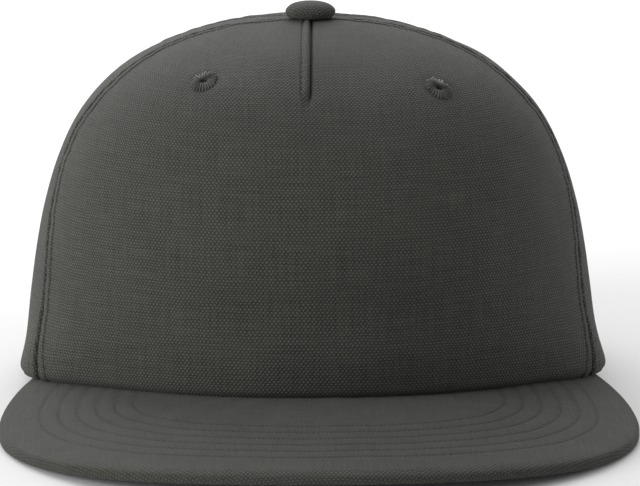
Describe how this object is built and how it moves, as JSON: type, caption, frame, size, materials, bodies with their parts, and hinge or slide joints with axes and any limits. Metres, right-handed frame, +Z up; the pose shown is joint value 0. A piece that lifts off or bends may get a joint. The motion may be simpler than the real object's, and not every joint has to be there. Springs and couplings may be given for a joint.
{
  "type": "flat-peak cap",
  "caption": "Flat-peak panel cap in charcoal canvas with a wide front panel, covered top button, sewn eyelets, arched back opening with a strap, and an open head hollow.",
  "frame": {"origin": "on the table, under the middle of the cap's length and width", "axes": "+Z up; +Y from the peak's front edge to the back of the cap, so the cap faces -Y; +X to the right as seen from in front"},
  "size_m": [0.1946, 0.2709, 0.1203],
  "materials": {
    "canvas": "plain woven canvas, matte",
    "peak_canvas": "plain woven canvas over a stiff core, matte",
    "thread": "satin sewing thread",
    "sweatband_cloth": "plain matte cloth",
    "strap_plastic": "matte"
  },
  "bodies": {
    "root": {"front_panel": "canvas", "left_side_panel": "canvas", "right_side_panel": "canvas", "left_back_panel": "canvas", "right_back_panel": "canvas", "top_button": "canvas", "peak": "peak_canvas", "sweatband": "sweatband_cloth", "back_strap": "strap_plastic", "eyelet_front_left": "thread", "eyelet_front_right": "thread", "eyelet_side_left": "thread", "eyelet_side_right": "thread", "eyelet_back_left": "thread", "eyelet_back_right": "thread"}
  },
  "joints": []
}
